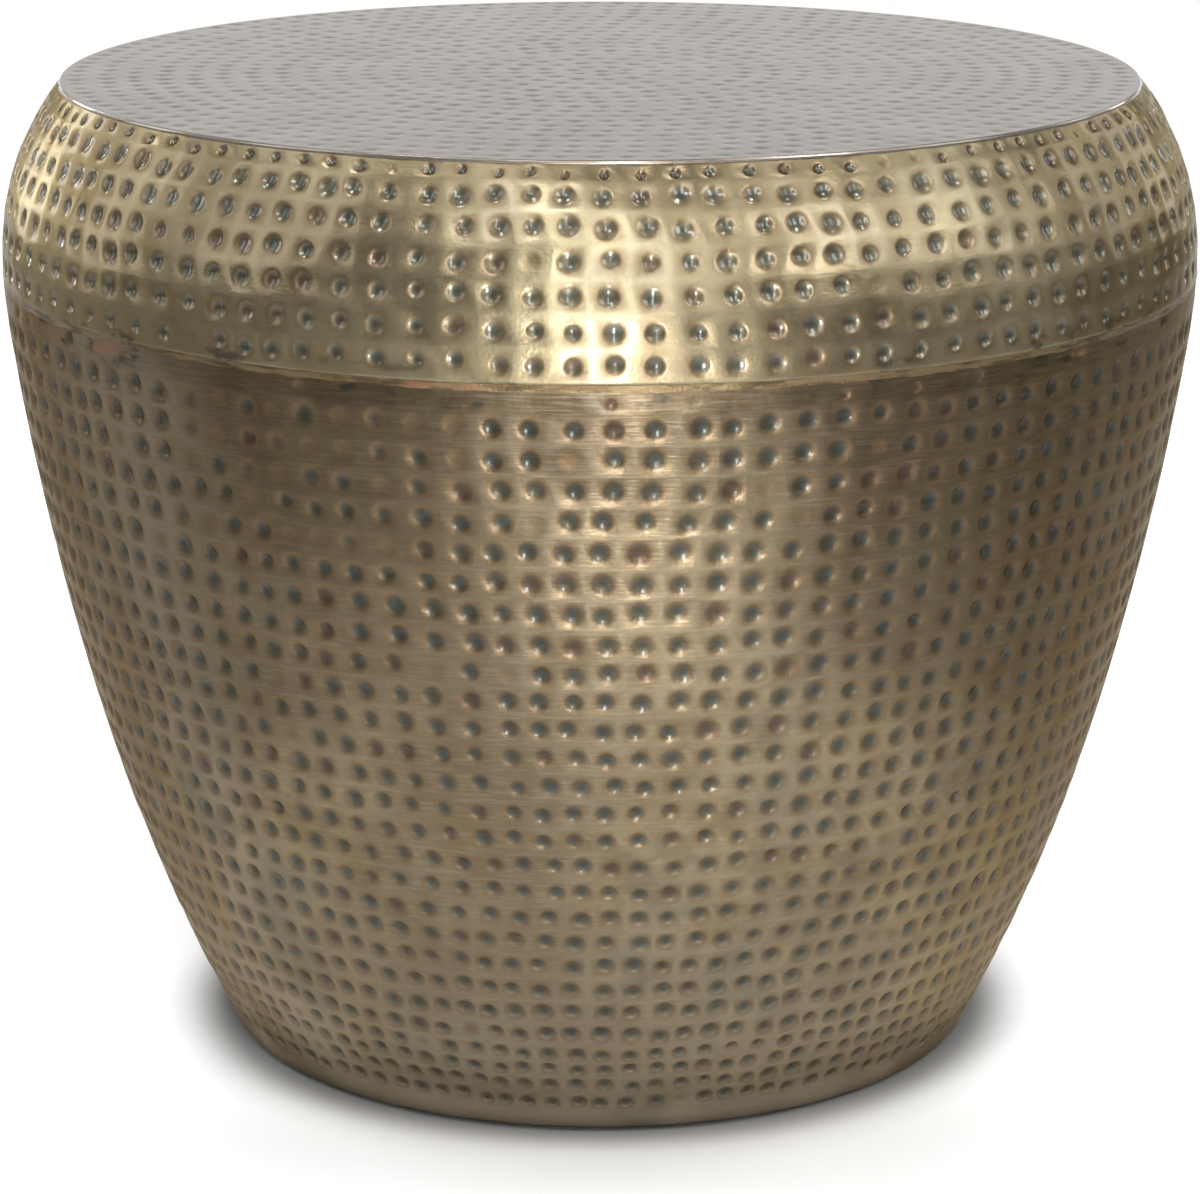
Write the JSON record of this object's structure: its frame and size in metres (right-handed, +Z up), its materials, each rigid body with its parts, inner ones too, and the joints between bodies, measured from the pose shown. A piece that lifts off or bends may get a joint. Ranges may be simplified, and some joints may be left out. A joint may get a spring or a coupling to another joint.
{
  "type": "drum side table",
  "caption": "Round drum side table of hammered antique brass sheet, with a rounded shoulder over a tapering body, a flat top, a rolled base edge and screw glides to level it.",
  "frame": {"origin": "on the floor, on the axis of the drum", "axes": "+Z up along the axis of the drum, -Y towards the viewer of the picture"},
  "size_m": [0.5588, 0.5588, 0.4572],
  "materials": {
    "top_brass": "hammered in rings, antiqued and lacquered",
    "shoulder_brass": "hammered, antiqued and lacquered",
    "body_brass": "hammered, darker patina, lacquered",
    "braze_metal": "brazed bead, filed and darkened",
    "rim_wire": "drawn wire",
    "black_steel": "satin black paint",
    "weld_metal": "as welded, dull",
    "zinc_steel": "bright zinc plate",
    "screw_steel": "yellow zinc plate",
    "board_wood": "raw birch plywood",
    "foot_nylon": "moulded nylon",
    "sole_felt": "pressed felt"
  },
  "bodies": {
    "drum": {"top_sheet": "top_brass", "shoulder_shell": "shoulder_brass", "seam_braze": "braze_metal", "body_shell": "body_brass", "base_wire": "rim_wire", "base_ring": "black_steel", "ring_welds": "weld_metal", "weld_nuts": "zinc_steel", "top_board": "board_wood", "cross_bar_main": "black_steel", "cross_bar_rear_half": "black_steel", "cross_bar_front_half": "black_steel", "bar_welds": "weld_metal", "board_screws": "screw_steel"},
    "foot_1": {"glide_foot_1": "foot_nylon", "glide_sole_1": "sole_felt"},
    "stud_1": {"glide_stud_1": "zinc_steel"},
    "foot_2": {"glide_foot_2": "foot_nylon", "glide_sole_2": "sole_felt"},
    "stud_2": {"glide_stud_2": "zinc_steel"},
    "foot_3": {"glide_foot_3": "foot_nylon", "glide_sole_3": "sole_felt"},
    "stud_3": {"glide_stud_3": "zinc_steel"},
    "foot_4": {"glide_foot_4": "foot_nylon", "glide_sole_4": "sole_felt"},
    "stud_4": {"glide_stud_4": "zinc_steel"}
  },
  "joints": [
    {"name": "foot_1_height", "type": "slide", "parent": "drum", "child": "foot_1", "axis": [0, 0, -1], "range_m": [0, 0.01]},
    {"name": "stud_1_turn", "type": "hinge", "parent": "foot_1", "child": "stud_1", "pos_m": [0.112, 0.112, 0], "axis": [0, 0, -1], "range_deg": [0, 2880]},
    {"name": "foot_2_height", "type": "slide", "parent": "drum", "child": "foot_2", "axis": [0, 0, -1], "range_m": [0, 0.01]},
    {"name": "stud_2_turn", "type": "hinge", "parent": "foot_2", "child": "stud_2", "pos_m": [-0.112, 0.112, 0], "axis": [0, 0, -1], "range_deg": [0, 2880]},
    {"name": "foot_3_height", "type": "slide", "parent": "drum", "child": "foot_3", "axis": [0, 0, -1], "range_m": [0, 0.01]},
    {"name": "stud_3_turn", "type": "hinge", "parent": "foot_3", "child": "stud_3", "pos_m": [-0.112, -0.112, 0], "axis": [0, 0, -1], "range_deg": [0, 2880]},
    {"name": "foot_4_height", "type": "slide", "parent": "drum", "child": "foot_4", "axis": [0, 0, -1], "range_m": [0, 0.01]},
    {"name": "stud_4_turn", "type": "hinge", "parent": "foot_4", "child": "stud_4", "pos_m": [0.112, -0.112, 0], "axis": [0, 0, -1], "range_deg": [0, 2880]}
  ],
  "couplings": [
    {"joint": "foot_1_height", "follows": "stud_1_turn", "m_per_rad": 0.00019894},
    {"joint": "foot_2_height", "follows": "stud_2_turn", "m_per_rad": 0.00019894},
    {"joint": "foot_3_height", "follows": "stud_3_turn", "m_per_rad": 0.00019894},
    {"joint": "foot_4_height", "follows": "stud_4_turn", "m_per_rad": 0.00019894}
  ]
}
